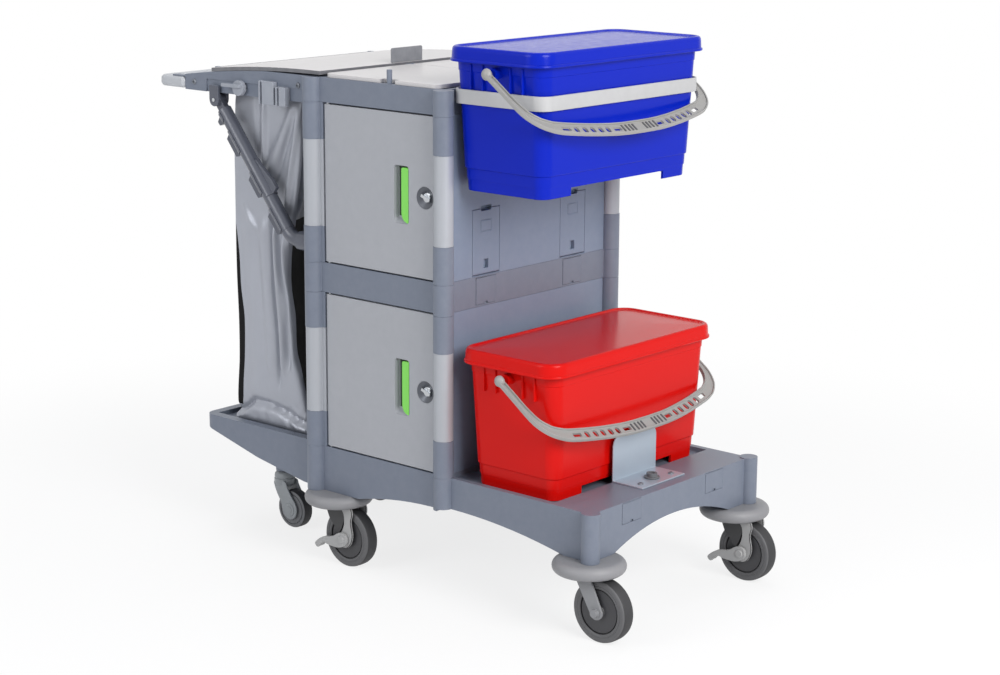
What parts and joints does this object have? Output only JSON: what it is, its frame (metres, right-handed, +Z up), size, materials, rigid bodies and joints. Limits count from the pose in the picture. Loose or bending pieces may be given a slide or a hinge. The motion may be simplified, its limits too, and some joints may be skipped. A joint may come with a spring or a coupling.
{
  "type": "janitor cart",
  "caption": "Wheeled cleaning cart with a two-door cabinet, hanging waste bag under an arched lid, push bar and two lidded buckets on swivel casters.",
  "frame": {"origin": "on the floor under the middle of the cart's box", "axes": "+X towards the bucket end, doors face -Y, +Z up"},
  "size_m": [1.2814, 0.624, 1.108],
  "materials": {
    "frame_grey": "fine-grained blue-grey moulding",
    "door_grey": "fine-grained light grey moulding",
    "light_grey": "smooth light grey",
    "lid_pale": "pale smooth moulding",
    "dark_plastic": "dark moulding",
    "steel": "plain bright steel",
    "red_plastic": "glossy red moulding",
    "blue_plastic": "glossy blue moulding",
    "green_plastic": "bright green insert",
    "bag_cloth": "silver-grey coated cloth",
    "bumper": "soft grey bumper",
    "tyre_grey": "dark grey tread",
    "wheel_core": "dark grey wheel body"
  },
  "bodies": {
    "cart": {"base_frame": "frame_grey", "pillar_tubes": "light_grey", "pillar_connectors": "frame_grey", "mid_frame": "frame_grey", "top_frame": "frame_grey", "end_panels": "frame_grey", "back_panels": "frame_grey", "inner_panels": "frame_grey", "accessory_covers": "frame_grey", "bucket_hoop": "light_grey", "bucket_stop": "steel", "stop_plug": "dark_plastic", "bag_frame": "frame_grey", "push_bar": "light_grey", "brace_tubes": "dark_plastic", "brace_clips": "dark_plastic", "bag_clips": "dark_plastic", "bag": "bag_cloth", "bumper_discs": "bumper", "caster_stems": "steel", "pivot_pins": "steel", "screws": "steel"},
    "upper_door": {"door_upper": "door_grey", "door_grip_upper": "green_plastic"},
    "lower_door": {"door_lower": "door_grey", "door_grip_lower": "green_plastic"},
    "lock_upper": {"lock_upper": "steel"},
    "lock_lower": {"lock_lower": "steel"},
    "top_lid_near": {"top_lid_near": "lid_pale"},
    "top_lid_far": {"top_lid_far": "lid_pale"},
    "hook_flap_near": {"hook_flap_near": "frame_grey"},
    "hook_flap_far": {"hook_flap_far": "frame_grey"},
    "red_bucket": {"red_bucket": "red_plastic"},
    "red_lid": {"red_lid": "red_plastic"},
    "red_bail": {"red_bail": "light_grey"},
    "blue_bucket": {"blue_bucket": "blue_plastic"},
    "blue_lid": {"blue_lid": "blue_plastic"},
    "blue_bail": {"blue_bail": "light_grey"},
    "clamp_knob_near": {"clamp_knob_near": "dark_plastic"},
    "clamp_knob_far": {"clamp_knob_far": "dark_plastic"},
    "brake_lever_rear": {"brake_lever_rear": "light_grey"},
    "brake_lever_front": {"brake_lever_front": "light_grey"},
    "small_fork_near": {"small_fork_near": "light_grey"},
    "small_fork_far": {"small_fork_far": "light_grey"},
    "small_wheel_near": {"small_wheel_near": "wheel_core"},
    "small_wheel_far": {"small_wheel_far": "wheel_core"},
    "waste_lid": {"bag_lid": "lid_pale", "lid_tab": "dark_plastic"},
    "fork_1": {"caster_fork_1": "light_grey"},
    "wheel_1": {"caster_core_1": "wheel_core", "caster_tyre_1": "tyre_grey"},
    "fork_2": {"caster_fork_2": "light_grey"},
    "wheel_2": {"caster_core_2": "wheel_core", "caster_tyre_2": "tyre_grey"},
    "fork_3": {"caster_fork_3": "light_grey"},
    "wheel_3": {"caster_core_3": "wheel_core", "caster_tyre_3": "tyre_grey"},
    "fork_4": {"caster_fork_4": "light_grey"},
    "wheel_4": {"caster_core_4": "wheel_core", "caster_tyre_4": "tyre_grey"}
  },
  "joints": [
    {"name": "swivel_1", "type": "hinge", "parent": "cart", "child": "fork_1", "pos_m": [0.54225, -0.24, 0.125], "axis": [0, 0, 1], "continuous": true},
    {"name": "roll_1", "type": "hinge", "parent": "fork_1", "child": "wheel_1", "pos_m": [0.57825, -0.24, 0.0625], "axis": [0, 1, 0], "continuous": true},
    {"name": "swivel_2", "type": "hinge", "parent": "cart", "child": "fork_2", "pos_m": [0.54225, 0.24, 0.125], "axis": [0, 0, 1], "continuous": true},
    {"name": "roll_2", "type": "hinge", "parent": "fork_2", "child": "wheel_2", "pos_m": [0.57825, 0.24, 0.0625], "axis": [0, 1, 0], "continuous": true},
    {"name": "swivel_3", "type": "hinge", "parent": "cart", "child": "fork_3", "pos_m": [-0.12875, -0.24, 0.125], "axis": [0, 0, 1], "continuous": true},
    {"name": "roll_3", "type": "hinge", "parent": "fork_3", "child": "wheel_3", "pos_m": [-0.09275, -0.24, 0.0625], "axis": [0, 1, 0], "continuous": true},
    {"name": "swivel_4", "type": "hinge", "parent": "cart", "child": "fork_4", "pos_m": [-0.12875, 0.24, 0.125], "axis": [0, 0, 1], "continuous": true},
    {"name": "roll_4", "type": "hinge", "parent": "fork_4", "child": "wheel_4", "pos_m": [-0.09275, 0.24, 0.0625], "axis": [0, 1, 0], "continuous": true},
    {"name": "brake_rear", "type": "hinge", "parent": "fork_3", "child": "brake_lever_rear", "pos_m": [-0.09275, -0.24, 0.0625], "axis": [0, -1, 0], "range_deg": [0, 18]},
    {"name": "brake_front", "type": "hinge", "parent": "fork_2", "child": "brake_lever_front", "pos_m": [0.57825, 0.24, 0.0625], "axis": [0, -1, 0], "range_deg": [0, 18]},
    {"name": "small_swivel_near", "type": "hinge", "parent": "cart", "child": "small_fork_near", "pos_m": [-0.40373, -0.135, 0.105], "axis": [0, 0, 1], "continuous": true},
    {"name": "small_roll_near", "type": "hinge", "parent": "small_fork_near", "child": "small_wheel_near", "pos_m": [-0.37073, -0.135, 0.0425], "axis": [0, 1, 0], "continuous": true},
    {"name": "small_swivel_far", "type": "hinge", "parent": "cart", "child": "small_fork_far", "pos_m": [-0.40373, 0.135, 0.105], "axis": [0, 0, 1], "continuous": true},
    {"name": "small_roll_far", "type": "hinge", "parent": "small_fork_far", "child": "small_wheel_far", "pos_m": [-0.37073, 0.135, 0.0425], "axis": [0, 1, 0], "continuous": true},
    {"name": "door_upper_hinge", "type": "hinge", "parent": "cart", "child": "upper_door", "pos_m": [-0.13275, -0.254, 0.808], "axis": [0, 0, -1], "range_deg": [0, 95]},
    {"name": "lock_upper_turn", "type": "hinge", "parent": "upper_door", "child": "lock_upper", "pos_m": [0.13825, -0.262, 0.808], "axis": [0, 1, 0], "range_deg": [0, 90]},
    {"name": "door_lower_hinge", "type": "hinge", "parent": "cart", "child": "lower_door", "pos_m": [-0.13275, -0.254, 0.418], "axis": [0, 0, -1], "range_deg": [0, 95]},
    {"name": "lock_lower_turn", "type": "hinge", "parent": "lower_door", "child": "lock_lower", "pos_m": [0.13825, -0.262, 0.418], "axis": [0, 1, 0], "range_deg": [0, 90]},
    {"name": "top_lid_near_hinge", "type": "hinge", "parent": "cart", "child": "top_lid_near", "pos_m": [0.03725, -0.006, 1.026], "axis": [-1, 0, 0], "range_deg": [0, 85]},
    {"name": "top_lid_far_hinge", "type": "hinge", "parent": "cart", "child": "top_lid_far", "pos_m": [0.03725, 0.006, 1.026], "axis": [1, 0, 0], "range_deg": [0, 85]},
    {"name": "waste_lid_hinge", "type": "hinge", "parent": "cart", "child": "waste_lid", "pos_m": [-0.48375, 0, 1.0119], "axis": [0, -1, 0], "range_deg": [0, 95]},
    {"name": "hook_flap_near_hinge", "type": "hinge", "parent": "cart", "child": "hook_flap_near", "pos_m": [0.18325, -0.136, 0.6505], "axis": [0, 1, 0], "range_deg": [0, 90]},
    {"name": "clamp_knob_near_turn", "type": "hinge", "parent": "cart", "child": "clamp_knob_near", "pos_m": [-0.38075, -0.262, 0.982], "axis": [0, 1, 0], "range_deg": [0, 180]},
    {"name": "hook_flap_far_hinge", "type": "hinge", "parent": "cart", "child": "hook_flap_far", "pos_m": [0.18325, 0.136, 0.6505], "axis": [0, 1, 0], "range_deg": [0, 90]},
    {"name": "clamp_knob_far_turn", "type": "hinge", "parent": "cart", "child": "clamp_knob_far", "pos_m": [-0.38075, 0.262, 0.982], "axis": [0, 1, 0], "range_deg": [0, 180]},
    {"name": "red_bucket_lift", "type": "slide", "parent": "cart", "child": "red_bucket", "axis": [0, 0, 1], "range_m": [0, 0.05]},
    {"name": "red_lid_lift", "type": "slide", "parent": "red_bucket", "child": "red_lid", "axis": [0, 0, 1], "range_m": [0, 0.045]},
    {"name": "red_bail_swing", "type": "hinge", "parent": "red_bucket", "child": "red_bail", "pos_m": [0.34525, 0, 0.478], "axis": [0, -1, 0], "range_deg": [0, 126]},
    {"name": "blue_bucket_lift", "type": "slide", "parent": "cart", "child": "blue_bucket", "axis": [0, 0, 1], "range_m": [0, 0.3]},
    {"name": "blue_lid_lift", "type": "slide", "parent": "blue_bucket", "child": "blue_lid", "axis": [0, 0, 1], "range_m": [0, 0.06]},
    {"name": "blue_bail_swing", "type": "hinge", "parent": "blue_bucket", "child": "blue_bail", "pos_m": [0.30905, 0, 1.062], "axis": [0, -1, 0], "range_deg": [0, 126]}
  ]
}
